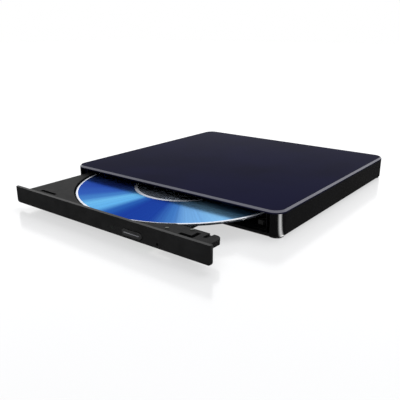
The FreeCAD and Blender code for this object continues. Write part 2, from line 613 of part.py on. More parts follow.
def make_pickup():
    z0, z1 = "rod_z - 1.1", "ceiling"
    front, rear = "lens_start - 8", "lens_start + 4"
    middle = block("-window_side + 0.2", "window_side - 0.2", front, rear, z0, z1)
    ears = [block(*sorted([f"{sign}(window_side - 0.2)", f"{sign}(rod_side + 1.3)"], key=number), front,
                  rear, z0, "rod_z + 1.05")
            for sign in "-+"]
    well = block("-7.2", "7.2", "lens_start - 3.7", "lens_start + 3.7", "rod_z + 0.2", f"{z1} + 1")
    bores = [rod("rod_radius + running_gap", f"{front} - 1", f"{rear} + 1", (f"{sign}rod_side", "rod_z"),
                 "y") for sign in "-+"]
    finish("pickup_sled", cut(fuse(middle, *ears), well, *bores), "tray", True)
    nut = block("rod_side + 1.3", "screw_side + 1.7", "lens_start - 7", "lens_start - 2", z0,
                "rod_z + 1.05")
    bore = rod("lead_radius + running_gap", "lens_start - 8", "lens_start - 1", ("screw_side", "rod_z"),
               "y")
    finish("sled_nut", cut(nut, bore), "tray", True)
    magnets = [block(*sorted([f"{sign}5.4", f"{sign}7"], key=number), "lens_start - 3", "lens_start + 3",
                     "rod_z + 0.2", "rod_z + 1.7")
               for sign in "-+"]
    finish("focus_magnets", group(*magnets), "tray", True)
    holder = cut(block("-4.2", "4.2", "lens_start - 3.3", "lens_start + 3.3", "rod_z + 0.7",
                       "ceiling + 0.1"),
                 rod("lens_radius + 0.02", "rod_z + 1.2", "ceiling + 1", ("0", "lens_start")))
    finish("lens_holder", holder, "tray", True)
    finish("objective_lens", rod("lens_radius", "rod_z + 1.2", "ceiling + 0.35", ("0", "lens_start")),
           "tray", True)


def make_spindle():
    base_z = "rod_z - 1.25"
    skirt = tube("rotor_radius + 1.8", "rotor_radius + 0.7", f"{base_z} + 0.3", "plate_bottom")
    plate = cut(rod("rotor_radius + 1.8", base_z, f"{base_z} + 0.3", ("0", "0")),
                rod("shaft_radius + 0.1", f"{base_z} - 1", f"{base_z} + 1", ("0", "0")))
    finish("motor_base", fuse(plate, skirt), "tray", True)
    finish("spindle_bearing", tube("bearing_radius", "shaft_radius + running_gap", f"{base_z} + 0.3",
                                   "plate_bottom"), "tray", True)

    body = new_body("stator")
    pad(body, f"{base_z} + 0.5", "plate_bottom - 0.5", ("0", "0", "8.8"))
    pocket(body, base_z, "plate_bottom", ("0", "0", "bearing_radius + 0.05"))
    slot = pocket(body, base_z, "plate_bottom", ("-0.8", "0.8", "5", "9.5"))
    pattern = body.newObject("PartDesign::PolarPattern", "Slots")
    pattern.Originals = [slot]
    pattern.Axis = (next(o for o in body.Origin.OriginFeatures if o.Role == "Z_Axis"), [""])
    pattern.Angle = 360
    pattern.Occurrences = 9
    body.Tip = pattern
    finish("stator", body, "tray", True)

    rotor_top = "ceiling"
    cup_wall = tube("rotor_radius", "rotor_radius - rotor_wall", f"{base_z} + 0.7", rotor_top)
    cup_top = tube("rotor_radius", "shaft_radius", f"{rotor_top} - 0.5", rotor_top)
    finish("rotor", fuse(cup_wall, cup_top), "tray", True)
    finish("magnet_ring", tube("rotor_radius - rotor_wall", "rotor_radius - rotor_wall - 0.9",
                               f"{base_z} + 0.7", f"{rotor_top} - 0.6"),
           "tray", True)
    finish("spindle_shaft", rod("shaft_radius", f"{base_z} + 0.05", f"{rotor_top} + 0.5", ("0", "0")),
           "tray", True)

    table = rod("table_radius", rotor_top, "disc_bottom - 0.2", ("0", "0"))
    boss = rod("hub_radius", "disc_bottom - 0.2", "tray_top", ("0", "0"))
    socket = rod("shaft_radius", f"{rotor_top} - 1", f"{rotor_top} + 0.5", ("0", "0"))
    slots, claws = [], []
    for step in range(3):
        turn = FreeCAD.Rotation(FreeCAD.Vector(0, 0, 1), 120*step)
        gap = block("3", "hub_radius + 2", "-claw_width/2 - 0.1", "claw_width/2 + 0.1",
                    "disc_bottom + 0.3", "tray_top + 1")
        foot = block("4", "hub_radius - 0.2", "-claw_width/2", "claw_width/2", "disc_bottom + 0.4",
                     "tray_top - 0.1")
        nose = block("hub_radius - 0.2", "hub_radius + claw_nose", "-claw_width/2", "claw_width/2",
                     "disc_top + 0.05", "tray_top - 0.15")
        slots.append(group(gap))
        claws.append(fuse(foot, nose))
        slots[-1].Placement.Rotation = turn
        whole = group(claws[-1])
        claws[-1].Placement.Rotation = turn
        finish(f"clamp_claw_{step + 1}", whole, "tray", True)
    finish("spindle_hub", cut(fuse(table, boss), socket, *slots), "tray", True)
    finish("turntable_mat", tube("table_radius - 0.5", "table_radius - 4.5", "disc_bottom - 0.2",
                                 "disc_bottom"), "tray", True)
    finish("disc", tube("disc_diameter/2", "disc_hole/2", "disc_bottom", "disc_top"), "tray", True)


def make_ribbon():
    """The flat cable: a lower run from the board, a hairpin near the front, an upper run to the tray."""
    low, high, thick = number("pan_top") + 0.04, number("pan_top") + 0.5, 0.08
    fixed, moved, bend = number("relief_front + 15.6"), number("100 - tray_out"), 7
    middle, outer, inner = (low + high)/2, (high - low)/2, (high - low)/2 - thick
    y_turn = bend + outer

    def point(y, z):
        return FreeCAD.Vector(16.5, y, z)
    riser = number("pan_top") + 1.7
    edges = [Part.LineSegment(point(fixed, low), point(y_turn, low)).toShape(),
             Part.Arc(point(y_turn, low), point(bend, middle), point(y_turn, high)).toShape(),
             Part.LineSegment(point(y_turn, high), point(moved, high)).toShape(),
             Part.LineSegment(point(moved, high), point(moved, high - thick)).toShape(),
             Part.LineSegment(point(moved, high - thick), point(y_turn, high - thick)).toShape(),
             Part.Arc(point(y_turn, high - thick), point(y_turn - inner, middle),
                      point(y_turn, low + thick)).toShape(),
             Part.LineSegment(point(y_turn, low + thick), point(fixed - thick, low + thick)).toShape(),
             Part.LineSegment(point(fixed - thick, low + thick), point(fixed - thick, riser)).toShape(),
             Part.LineSegment(point(fixed - thick, riser), point(fixed, riser)).toShape(),
             Part.LineSegment(point(fixed, riser), point(fixed, low)).toShape()]
    item = doc.addObject("Part::Feature", "Ribbon")
    item.Shape = Part.Face(Part.Wire(edges)).extrude(FreeCAD.Vector(12, 0, 0))
    finish("ribbon_cable", item)


make_top_cover()
make_bottom_case()
make_case_fittings()
make_bridge_board()
make_drive_shell()
make_guides()
make_main_board()
make_tray()
make_bezel()
make_controls()
make_shield()
make_latch()
make_traverse()
make_traverse_fittings()
make_pickup()
make_spindle()
make_ribbon()
doc.recompute()

for item in doc.Objects:
    if "Invalid" in item.State or "Error" in item.State:
        raise RuntimeError(f"{item.Label} failed to build")
for name, item in pieces.items():
    if item.Shape.isNull() or not item.Shape.isValid():
        raise RuntimeError(f"{name} has no valid shape")
for name, item in pieces.items():
    item.Shape.exportStep(f"parts/{name}.step")
    print(f"{name:20s} {len(item.Shape.Solids)} solids, {item.Shape.Volume:9.1f} mm3")
print(len(pieces), "pieces")
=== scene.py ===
import json
import math
import bmesh
import bpy
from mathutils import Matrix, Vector


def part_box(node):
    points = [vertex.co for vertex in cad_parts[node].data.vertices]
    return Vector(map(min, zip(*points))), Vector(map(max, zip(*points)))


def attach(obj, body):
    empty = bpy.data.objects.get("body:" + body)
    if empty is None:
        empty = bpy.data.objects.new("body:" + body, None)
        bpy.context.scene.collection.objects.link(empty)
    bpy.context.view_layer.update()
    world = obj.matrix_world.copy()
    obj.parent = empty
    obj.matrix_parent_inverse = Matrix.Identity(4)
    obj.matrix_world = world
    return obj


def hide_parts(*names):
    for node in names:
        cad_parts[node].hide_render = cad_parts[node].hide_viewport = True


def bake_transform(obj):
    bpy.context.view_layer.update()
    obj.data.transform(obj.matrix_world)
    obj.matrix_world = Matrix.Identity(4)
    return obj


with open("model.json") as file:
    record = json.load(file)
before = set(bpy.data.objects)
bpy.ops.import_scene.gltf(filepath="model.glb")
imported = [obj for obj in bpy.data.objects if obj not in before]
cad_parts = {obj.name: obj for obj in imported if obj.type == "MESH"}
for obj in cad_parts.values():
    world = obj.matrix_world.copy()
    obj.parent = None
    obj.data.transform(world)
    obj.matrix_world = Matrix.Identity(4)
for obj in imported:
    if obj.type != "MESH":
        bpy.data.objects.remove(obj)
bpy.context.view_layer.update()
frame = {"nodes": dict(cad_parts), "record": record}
nodes = frame["nodes"]
mm = 0.001
print("frame loaded:", len(nodes), "nodes")


# small helpers

def hexColour(text):
    # sRGB hex to linear
    parts = [int(text[i:i + 2], 16) / 255 for i in (1, 3, 5)]
    return tuple(p / 12.92 if p <= 0.04045 else ((p + 0.055) / 1.055) ** 2.4 for p in parts) + (1.0,)


def addNode(tree, kind, settings=None, **links):
    # settings are properties or input values; links feed inputs, by name or as i0, i1, i2 by number
    node = tree.nodes.new(kind)
    for key, value in (settings or {}).items():
        if isinstance(key, int) or key in node.inputs.keys():
            node.inputs[key].default_value = value
        else:
            setattr(node, key, value)
    for key, socket in links.items():
        numbered = key[0] == "i" and key[1:].isdigit()
        tree.links.new(socket, node.inputs[int(key[1:]) if numbered else key.replace("_", " ")])
    return node


def newMaterial(name):
    material = bpy.data.materials.new(name)
    material.use_nodes = True
    tree = material.node_tree
    tree.nodes.clear()
    shader = addNode(tree, "ShaderNodeBsdfPrincipled")
    out = addNode(tree, "ShaderNodeOutputMaterial")
    tree.links.new(shader.outputs[0], out.inputs[0])
    return material, tree, shader


def setShader(shader, **values):
    for key, value in values.items():
        shader.inputs[key.replace("_", " ")].default_value = value


def objectPlace(tree, offset=(0, 0, 0), scale=(1, 1, 1)):
    coords = addNode(tree, "ShaderNodeTexCoord")
    mapping = addNode(tree, "ShaderNodeMapping", {"Location": offset, "Scale": scale},
                      Vector=coords.outputs["Object"])
    return mapping.outputs[0]


def grain(tree, shader, size, depth):
    # moulded or cast grain: bump from noise whose features are about the given size
    noise = addNode(tree, "ShaderNodeTexNoise", {"Scale": 1 / size, "Detail": 3.0}, Vector=objectPlace(tree))
    bump = addNode(tree, "ShaderNodeBump", {"Strength": 0.35, "Distance": depth}, Height=noise.outputs["Fac"])
    tree.links.new(bump.outputs[0], shader.inputs["Normal"])


def roughnessCloud(tree, shader, size, low, high):
    # wear and handling: the gloss drifts a little over the given size
    noise = addNode(tree, "ShaderNodeTexNoise", {"Scale": 1 / size, "Detail": 4.0}, Vector=objectPlace(tree))
    spread = addNode(tree, "ShaderNodeMapRange", {"To Min": low, "To Max": high}, Value=noise.outputs["Fac"])
    tree.links.new(spread.outputs[0], shader.inputs["Roughness"])


def tint(tree, shader, size, first, second):
    # the pigment drifts between two close colours
    noise = addNode(tree, "ShaderNodeTexNoise", {"Scale": 1 / size, "Detail": 2.0}, Vector=objectPlace(tree))
    ramp = addNode(tree, "ShaderNodeValToRGB", Fac=noise.outputs["Fac"])
    ramp.color_ramp.elements[0].position = 0.35
    ramp.color_ramp.elements[1].position = 0.65
    ramp.color_ramp.elements[0].color = hexColour(first)
    ramp.color_ramp.elements[1].color = hexColour(second)
    tree.links.new(ramp.outputs[0], shader.inputs["Base Color"])


# materials, each named for what the real one is, and for the light painted into it where some is

def makeGlossyAbs(name, first, second, rough, level=0.5):
    # high-gloss injection moulded ABS: a smooth skin over a deep dark colour; the cover's level is
    # far below the real plastic's, so that the white room doesn't turn its navy grey
    material, tree, shader = newMaterial(name)
    tint(tree, shader, 40 * mm, first, second)
    roughnessCloud(tree, shader, 6 * mm, *rough)
    setShader(shader, IOR=1.5, Specular_IOR_Level=level)
    return material


def makeMouldedPlastic(name, first, second, rough, size=0.35 * mm, depth=0.03 * mm, level=0.4):
    # spark-eroded mould texture: fine matte grain; drawn a little coarse so that it shows
    material, tree, shader = newMaterial(name)
    tint(tree, shader, 5 * mm, first, second)
    roughnessCloud(tree, shader, 2 * mm, *rough)
    grain(tree, shader, size, depth)
    setShader(shader, Specular_IOR_Level=level)
    return material


def makeMetal(name, first, second, rough, stretch=(1, 1, 1), size=0.8 * mm, metallic=1.0):
    # rolled, turned or plated metal: its grain is stretched along the working direction
    material, tree, shader = newMaterial(name)
    noise = addNode(tree, "ShaderNodeTexNoise", {"Scale": 1 / size, "Detail": 4.0},
                    Vector=objectPlace(tree, scale=stretch))
    spread = addNode(tree, "ShaderNodeMapRange", {"To Min": rough[0], "To Max": rough[1]},
                     Value=noise.outputs["Fac"])
    tree.links.new(spread.outputs[0], shader.inputs["Roughness"])
    ramp = addNode(tree, "ShaderNodeValToRGB", Fac=noise.outputs["Fac"])
    ramp.color_ramp.elements[0].color = hexColour(first)
    ramp.color_ramp.elements[1].color = hexColour(second)
    tree.links.new(ramp.outputs[0], shader.inputs["Base Color"])
    setShader(shader, Metallic=metallic)
    return material


def makeSolderMask():
    # green solder mask over copper tracks: the tracks show as lighter lines under the lacquer
    material, tree, shader = newMaterial("solderMaskBoard")
    place = objectPlace(tree, scale=(1, 1, 0))
    trackSpan = 3.2 * mm   # the brick node draws four rows over this length
    brick = addNode(tree, "ShaderNodeTexBrick",
                    {"Scale": 1 / trackSpan, "Mortar Size": 0.035, "Mortar Smooth": 0.1,
                     "Color1": hexColour("#0f4a2a"), "Color2": hexColour("#0d3f25"),
                     "Mortar": hexColour("#3f8a52")}, Vector=place)
    tree.links.new(brick.outputs["Color"], shader.inputs["Base Color"])
    roughnessCloud(tree, shader, 3 * mm, 0.2, 0.32)
    setShader(shader, Coat_Weight=0.4)
    return material


def makeWinding():
    # enamelled copper wire: close turns show as fine bands
    material, tree, shader = newMaterial("enamelledCopperWire")
    bandSpan = 0.9 * mm   # the wave node draws about three bands over this length
    wave = addNode(tree, "ShaderNodeTexWave", {"Scale": 1 / bandSpan, "Distortion": 0.4},
                   Vector=objectPlace(tree))
    ramp = addNode(tree, "ShaderNodeValToRGB", Fac=wave.outputs["Fac"])
    ramp.color_ramp.elements[0].color = hexColour("#7a3313")
    ramp.color_ramp.elements[1].color = hexColour("#c8692f")
    tree.links.new(ramp.outputs[0], shader.inputs["Base Color"])
    setShader(shader, Metallic=0.85, Roughness=0.3)
    return material


def makeClear(name, colour, transmission, rough, ior=1.58):
    # clear plastic or glass with a polished skin: what lies behind it shows through
    material, tree, shader = newMaterial(name)
    setShader(shader, Base_Color=hexColour(colour), Transmission_Weight=transmission, IOR=ior)
    roughnessCloud(tree, shader, 4 * mm, rough, rough + 0.03)
    return material


discLow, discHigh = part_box("disc")
discMiddle = (discLow + discHigh) / 2


dataLayerSettings = {   # the streaks are (degrees, colour), and come again on the disc's other half; their lighter, cyan colours are a painted sheen
    "paintedSheenStreaks": [(0, "#3346a0"), (22, "#3a58a6"), (38, "#3449a2"), (52, "#4062b4"), (64, "#5690cc"),
                (72, "#82d2f6"), (81, "#78c8f4"), (90, "#3a66b0"), (99, "#2d4098"), (114, "#30449a"),
                (124, "#4f82c2"), (136, "#86bde8"), (150, "#98d2f6"), (164, "#6ba6da")],
    "wander": 0.012, "wanderScale": 38.0, "fineScale": 260.0, "fineLow": 0.9, "fineHigh": 1.12,
    "metallic": 0.9, "roughness": 0.16, "specular": 0.1, "specularTint": "#a2b4e4"}


def makeDataLayer():
    # dye layer over silver, seen through clear plastic: its blue is the dye's own, and the radial streaks and
    # fine radial lines are a painted sheen, the light that the pits spread painted into the colour
    s = dataLayerSettings
    paintedSheenStreaks = s["paintedSheenStreaks"]
    material, tree, shader = newMaterial("blueDyePaintedSheenLayer")
    place = objectPlace(tree, offset=tuple(-c for c in discMiddle))
    radial = addNode(tree, "ShaderNodeTexGradient", {"gradient_type": "RADIAL"}, Vector=place)
    noise = addNode(tree, "ShaderNodeTexNoise",
                    {"Scale": s["wanderScale"], "Detail": 2.0, "noise_dimensions": "1D"},
                    W=radial.outputs["Fac"])
    shift = addNode(tree, "ShaderNodeMath", {"operation": "MULTIPLY_ADD", 1: s["wander"]},
                    i0=noise.outputs["Fac"], i2=radial.outputs["Fac"])
    doubled = addNode(tree, "ShaderNodeMath", {"operation": "MULTIPLY", 1: 2.0}, i0=shift.outputs[0])
    folded = addNode(tree, "ShaderNodeMath", {"operation": "FRACT"}, i0=doubled.outputs[0])
    ramp = addNode(tree, "ShaderNodeValToRGB", Fac=folded.outputs[0])
    ramp.color_ramp.interpolation = "EASE"
    for angle, colour in paintedSheenStreaks:   # clear of the ramp's two end stops
        stop = ramp.color_ramp.elements.new(min(angle / 180 + 0.001, 0.999))
        stop.color = hexColour(colour)
    ramp.color_ramp.elements[0].color = hexColour(paintedSheenStreaks[0][1])
    ramp.color_ramp.elements[-1].color = hexColour(paintedSheenStreaks[0][1])
    fine = addNode(tree, "ShaderNodeTexNoise",
                   {"Scale": s["fineScale"], "Detail": 1.0, "noise_dimensions": "1D"},
                   W=radial.outputs["Fac"])
    lift = addNode(tree, "ShaderNodeMapRange", {"To Min": s["fineLow"], "To Max": s["fineHigh"]},
                   Value=fine.outputs["Fac"])
    shade = addNode(tree, "ShaderNodeVectorMath", {"operation": "SCALE"}, i0=ramp.outputs[0],
                    Scale=lift.outputs[0])
    tree.links.new(shade.outputs[0], shader.inputs["Base Color"])
    setShader(shader, Metallic=s["metallic"], Roughness=s["roughness"], Specular_IOR_Level=s["specular"],
              Specular_Tint=hexColour(s["specularTint"]))
    return material


finishes = {
    "glossy_black_plastic": makeGlossyAbs("pianoGlossNavyAbs", "#141425", "#16162b", (0.06, 0.1), 0.0012),
    "black_plastic": makeGlossyAbs("blackGlossAbs", "#070707", "#0a0a0b", (0.12, 0.18)),
    "bezel": makeMouldedPlastic("satinBlackAbs", "#1b1b1b", "#202020", (0.34, 0.42),
                                0.25 * mm, 0.01 * mm, 0.15),
    "matte_tray_plastic": makeMouldedPlastic("matteTrayAbs", "#151515", "#1c1c1c", (0.45, 0.55),
                                             0.5 * mm, 0.03 * mm, 0.05),
    "rubber": makeMouldedPlastic("blackRubber", "#161616", "#1c1c1c", (0.75, 0.85), 0.4 * mm, 0.05 * mm),
    "foam": makeMouldedPlastic("openCellFoam", "#26262a", "#2e2e33", (0.9, 0.98), 0.6 * mm, 0.2 * mm),
    "steel": makeMetal("turnedSteel", "#9b9da1", "#c3c5c8", (0.2, 0.32)),
    "sheet_steel": makeMetal("zincPlatedSheet", "#8e9093", "#b9bbbd", (0.28, 0.42), (0.15, 1, 1)),
    "plated_steel": makeMetal("nickelPlatedSteel", "#b4b4b6", "#d6d6d6", (0.14, 0.24)),
    "circuit_board": makeSolderMask(),
    "chip": makeMouldedPlastic("mouldedEpoxy", "#131314", "#1a1a1c", (0.5, 0.6), 0.2 * mm, 0.02 * mm),
    "black_nylon": makeMouldedPlastic("blackNylon", "#151515", "#1b1b1b", (0.4, 0.5)),
    "black_acetal": makeMouldedPlastic("blackAcetal", "#101010", "#151515", (0.35, 0.45)),
    "white_acetal": makeMouldedPlastic("naturalAcetal", "#d8d6cd", "#e2e0d8", (0.35, 0.45)),
    "clear_plastic": makeClear("clearAcrylic", "#e6eef0", 0.8, 0.04),
    "copper": makeWinding(),
    "bronze": makeMetal("sinteredBronze", "#7d5a2c", "#a8803f", (0.35, 0.5)),
    "die_cast_zinc": makeMetal("dieCastZinc", "#6c6d70", "#8f9093", (0.4, 0.55), size=0.5 * mm),
    "magnet": makeMetal("nickelledMagnet", "#6a6a6c", "#858587", (0.3, 0.42)),
    "lens_glass": makeClear("coatedLensGlass", "#b9d6ee", 0.95, 0.01, 1.52),
    "polycarbonate": makeClear("polycarbonate", "#8b94a2", 0.9, 0.05),
    "flat_cable": makeMouldedPlastic("polyesterFilm", "#c4c6ca", "#d6d8dc", (0.3, 0.4), 0.6 * mm, 0.02 * mm),
}
dataLayer = makeDataLayer()
silverBand = makeMetal("silveredBand", "#dfe4f2", "#f6f8ff", (0.2, 0.3), metallic=0.75)
# the disc's edge is near white and mostly opaque: a painted highlight, the light that its clear rim catches
rimPlastic = makeClear("edgePaintedHighlightPolycarbonate", "#f4f8ff", 0.15, 0.1)
# a lighter grey for the cover's bevel and the button's rim: a painted highlight where they would catch the
# light
rimPaintedHighlight = makeGlossyAbs("bevelPaintedHighlightAbs", "#50505c", "#5a5a66", (0.2, 0.26), level=0.9)
smokedPlastic = makeClear("smokedAcrylic", "#2c302e", 0.35, 0.1)
print("materials made:", len(bpy.data.materials))


# the CAD nodes get their finishes and softened edges

softened = {"top_cover": 0.12, "bottom_case": 0.2, "tray": 0.15, "tray_bezel": 0.15, "eject_button": 0.15,
            "drive_lid": 0.1, "drive_chassis": 0.1, "rubber_feet": 0.15, "spindle_hub": 0.12}   # in mm
edgeSettings = {"weldGap": 0.001 * mm, "segments": 2, "softFrom": math.radians(32),
                "sharpFrom": math.radians(30), "faceWeight": 100}


def finishNode(name, material):
    s = edgeSettings
    item = nodes[name]
    mesh = item.data
    mesh.materials.clear()
    mesh.materials.append(material)
    if "custom_normal" in mesh.attributes:
        mesh.attributes.remove(mesh.attributes["custom_normal"])
    mesh.polygons.foreach_set("use_smooth", [True] * len(mesh.polygons))
    weld = item.modifiers.new("weld", "WELD")
    weld.merge_threshold = s["weldGap"]
    if name in softened:
        bevel = item.modifiers.new("softEdge", "BEVEL")
        bevel.width = softened[name] * mm
        bevel.segments = s["segments"]
        bevel.limit_method = "ANGLE"
        bevel.angle_limit = s["softFrom"]
        weighted = item.modifiers.new("flatFaces", "WEIGHTED_NORMAL")
        weighted.weight = s["faceWeight"]
    else:
        split = item.modifiers.new("sharpEdges", "EDGE_SPLIT")
        split.split_angle = s["sharpFrom"]


slotOf = {entry["node"]: entry["material_slot"] for entry in frame["record"]["subparts"]}
# the drive's lid and chassis are black: a black coat, and painted shade, so that they stay dark where they
# lie in the shade of the opening
coatedSheetAndShade = makeMouldedPlastic("blackCoatedSheetAndShade", "#0c0c0d", "#101011", (0.35, 0.45),
                                 0.3 * mm, 0.01 * mm, 0.15)
buttonPlastic = makeMouldedPlastic("polishedBlackAbs", "#2c2c2c", "#333333", (0.22, 0.3),
                                   0.4 * mm, 0.005 * mm, 0.4)
special = {"tray_bezel": finishes["bezel"], "eject_button": buttonPlastic, "light_pipe": smokedPlastic,
           "drive_lid": coatedSheetAndShade, "drive_chassis": coatedSheetAndShade}
for name in sorted(nodes):
    finishNode(name, special.get(name) or finishes[slotOf[name]])

rimHighlightSettings = {"slopeLow": 0.3, "slopeHigh": 0.95, "coverBand": 1 * mm, "sideways": 0.5,
                  "buttonBand": 0.3 * mm}
cover = nodes["top_cover"].data   # its bevelled rim is painted light grey: a painted highlight
cover.materials.append(rimPaintedHighlight)
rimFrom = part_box("top_cover")[1].z - rimHighlightSettings["coverBand"]
for face in cover.polygons:
    if rimHighlightSettings["slopeLow"] < face.normal.z < rimHighlightSettings["slopeHigh"] and face.center.z > rimFrom:
        face.material_index = 1
button = nodes["eject_button"].data   # the raised rim of the button is painted light grey: a painted highlight
button.materials.append(rimPaintedHighlight)
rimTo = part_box("tray_bezel")[0].y + rimHighlightSettings["buttonBand"]
for face in button.polygons:
    if abs(face.normal.y) < rimHighlightSettings["sideways"] and face.center.y < rimTo:
        face.material_index = 1
print("CAD nodes finished")


# pieces made here

def meshPiece(name, bm, body, materials):
    # a plain mesh object from bm, on its body
    mesh = bpy.data.meshes.new(name)
    bm.to_mesh(mesh)
    bm.free()
    for material in materials:
        mesh.materials.append(material)
    item = bpy.data.objects.new(name, mesh)
    bpy.context.scene.collection.objects.link(item)
    if body:   # a piece without a body is left unattached
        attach(item, body)
    return item


def lathe(bm, profile, centre, steps, bands=None):
    # profile: closed list of (radius, height); bands(radius, height) gives a face's material index
    rings = []
    angles = [2 * math.pi * k / steps for k in range(steps)]
    for radius, height in profile:
        rings.append([bm.verts.new((centre[0] + radius * math.cos(a),
                                    centre[1] + radius * math.sin(a), height)) for a in angles])
    for index, ring in enumerate(rings):
        following = (index + 1) % len(rings)
        after = rings[following]
        radius = (profile[index][0] + profile[following][0]) / 2
        height = (profile[index][1] + profile[following][1]) / 2
        for k in range(steps):
            beside = (k + 1) % steps
            face = bm.faces.new((ring[k], ring[beside], after[beside], after[k]))
            face.smooth = True
            if bands:
                face.material_index = bands(radius, height)
    bmesh.ops.recalc_face_normals(bm, faces=bm.faces)


discSettings = {"holeRadius": 7.5 * mm, "silverFrom": 26.0 * mm, "dataFrom": 28.0 * mm,
                "dataTo": 58.9 * mm, "grooveRadius": 17.2 * mm, "grooveWidth": 0.8 * mm,
                "grooveSlope": 0.3 * mm, "grooveDepth": 0.12 * mm, "edgeRound": 0.12 * mm, "steps": 256}


def makeDisc():
    s = discSettings
    low, high, soft = discLow.z, discHigh.z, s["edgeRound"]
    outer = (discHigh.x - discLow.x) / 2
    hole = s["holeRadius"]
    grooveIn, grooveOut = s["grooveRadius"], s["grooveRadius"] + s["grooveWidth"]
    floor = high - s["grooveDepth"]
    profile = [(hole, low + soft), (hole + soft, low), (outer - soft, low), (outer, low + soft),
               (outer, high - soft), (outer - soft, high), (s["dataTo"], high), (s["dataFrom"], high),
               (s["silverFrom"], high), (grooveOut + s["grooveSlope"], high), (grooveOut, floor),
               (grooveIn, floor), (grooveIn - s["grooveSlope"], high), (hole + soft, high),
               (hole, high - soft)]

    def bands(radius, height):
        # 0 clear plastic, 1 data layer, 2 edge, 3 silver band
        if height < high - soft:
            return 0
        if radius > s["dataTo"]:
            return 2
        if radius > s["dataFrom"]:
            return 1
        return 3 if radius > s["silverFrom"] else 0
    bm = bmesh.new()
    lathe(bm, profile, discMiddle, s["steps"], bands)
    layers = [finishes["polycarbonate"], dataLayer, rimPlastic, silverBand]
    item = meshPiece("discDetailed", bm, "spindle", layers)
    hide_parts("disc")


makeDisc()
print("disc made")


# repeated details, made by Geometry Nodes

def newTree(name, inputs):
    tree = bpy.data.node_groups.new(name, "GeometryNodeTree")
    tree.interface.new_socket("Geometry", in_out="OUTPUT", socket_type="NodeSocketGeometry")
    for label, kind in inputs:
        tree.interface.new_socket(label, in_out="INPUT", socket_type="NodeSocket" + kind)
    return tree, addNode(tree, "NodeGroupInput").outputs


def closeTree(tree, geometry, material):
    real = addNode(tree, "GeometryNodeRealizeInstances", Geometry=geometry)
    painted = addNode(tree, "GeometryNodeSetMaterial", Geometry=real.outputs[0], Material=material)
    out = addNode(tree, "NodeGroupOutput")
    tree.links.new(painted.outputs[0], out.inputs[0])
    return tree


def makeBlockRow():
    # a straight row of equal blocks: chip legs and contacts
    tree, given = newTree("blockRow", [("Count", "Int"), ("Start", "Vector"), ("Step", "Vector"),
                                       ("Size", "Vector"), ("Material", "Material")])
    line = addNode(tree, "GeometryNodeMeshLine", {"mode": "OFFSET"}, Count=given["Count"],
                   Start_Location=given["Start"], Offset=given["Step"])
    block = addNode(tree, "GeometryNodeMeshCube", Size=given["Size"])
    spread = addNode(tree, "GeometryNodeInstanceOnPoints", Points=line.outputs[0],
                     Instance=block.outputs["Mesh"])
    return closeTree(tree, spread.outputs[0], given["Material"])


def makeTurnRow():
    # turns of round wire side by side along X
    tree, given = newTree("turnRow", [("Count", "Int"), ("Start", "Vector"), ("Step", "Vector"),
                                      ("Radius", "Float"), ("Wire", "Float"), ("Material", "Material")])
    line = addNode(tree, "GeometryNodeMeshLine", {"mode": "OFFSET"}, Count=given["Count"],
                   Start_Location=given["Start"], Offset=given["Step"])
    ring = addNode(tree, "GeometryNodeCurvePrimitiveCircle", {"Resolution": 20}, Radius=given["Radius"])
    section = addNode(tree, "GeometryNodeCurvePrimitiveCircle", {"Resolution": 6}, Radius=given["Wire"])
    wire = addNode(tree, "GeometryNodeCurveToMesh", Curve=ring.outputs[0], Profile_Curve=section.outputs[0])
    upright = addNode(tree, "GeometryNodeTransform", {"Rotation": (0, math.radians(90), 0)},
                      Geometry=wire.outputs[0])
    spread = addNode(tree, "GeometryNodeInstanceOnPoints", Points=line.outputs[0],
                     Instance=upright.outputs[0])
    return closeTree(tree, spread.outputs[0], given["Material"])


def makeThread():
    # a round core with one helical ridge, laid along a direction
    tree, given = newTree("screwThread", [("Length", "Float"), ("Core", "Float"), ("Helix", "Float"),
                                          ("Ridge", "Float"), ("Turns", "Float"), ("Place", "Vector"),
                                          ("Turn", "Vector"), ("Material", "Material")])
    core = addNode(tree, "GeometryNodeMeshCylinder", {"Vertices": 32}, Radius=given["Core"],
                   Depth=given["Length"])
    half = addNode(tree, "ShaderNodeMath", {"operation": "MULTIPLY", 1: -0.5}, i0=given["Length"])
    down = addNode(tree, "ShaderNodeCombineXYZ", Z=half.outputs[0])
    helix = addNode(tree, "GeometryNodeCurveSpiral", {"Resolution": 24}, Rotations=given["Turns"],
                    Start_Radius=given["Helix"], End_Radius=given["Helix"], Height=given["Length"])
    section = addNode(tree, "GeometryNodeCurvePrimitiveCircle", {"Resolution": 6}, Radius=given["Ridge"])
    ridge = addNode(tree, "GeometryNodeCurveToMesh", {"Fill Caps": True}, Curve=helix.outputs[0],
                    Profile_Curve=section.outputs[0])
    lowered = addNode(tree, "GeometryNodeTransform", Geometry=ridge.outputs[0], Translation=down.outputs[0])
    both = addNode(tree, "GeometryNodeJoinGeometry")
    tree.links.new(core.outputs["Mesh"], both.inputs[0])
    tree.links.new(lowered.outputs[0], both.inputs[0])
    laid = addNode(tree, "GeometryNodeTransform", Geometry=both.outputs[0], Translation=given["Place"],
                   Rotation=given["Turn"])
    return closeTree(tree, laid.outputs[0], given["Material"])


blockRow, turnRow, screwThread = makeBlockRow(), makeTurnRow(), makeThread()


def grow(bm, tree, **values):
    # runs a tree on an empty holder and adds what it makes to bm
    holder = bpy.data.objects.new("holder", bpy.data.meshes.new("holder"))
    bpy.context.scene.collection.objects.link(holder)
    modifier = holder.modifiers.new("nodes", "NODES")
    modifier.node_group = tree
    for item in tree.interface.items_tree:
        if item.in_out == "INPUT":
            modifier[item.identifier] = values[item.name]
    made = bpy.data.meshes.new_from_object(holder.evaluated_get(bpy.context.evaluated_depsgraph_get()))
    bm.from_mesh(made)
    bpy.data.meshes.remove(made)
    bpy.data.objects.remove(holder)
    for face in bm.faces:
        face.material_index = 0


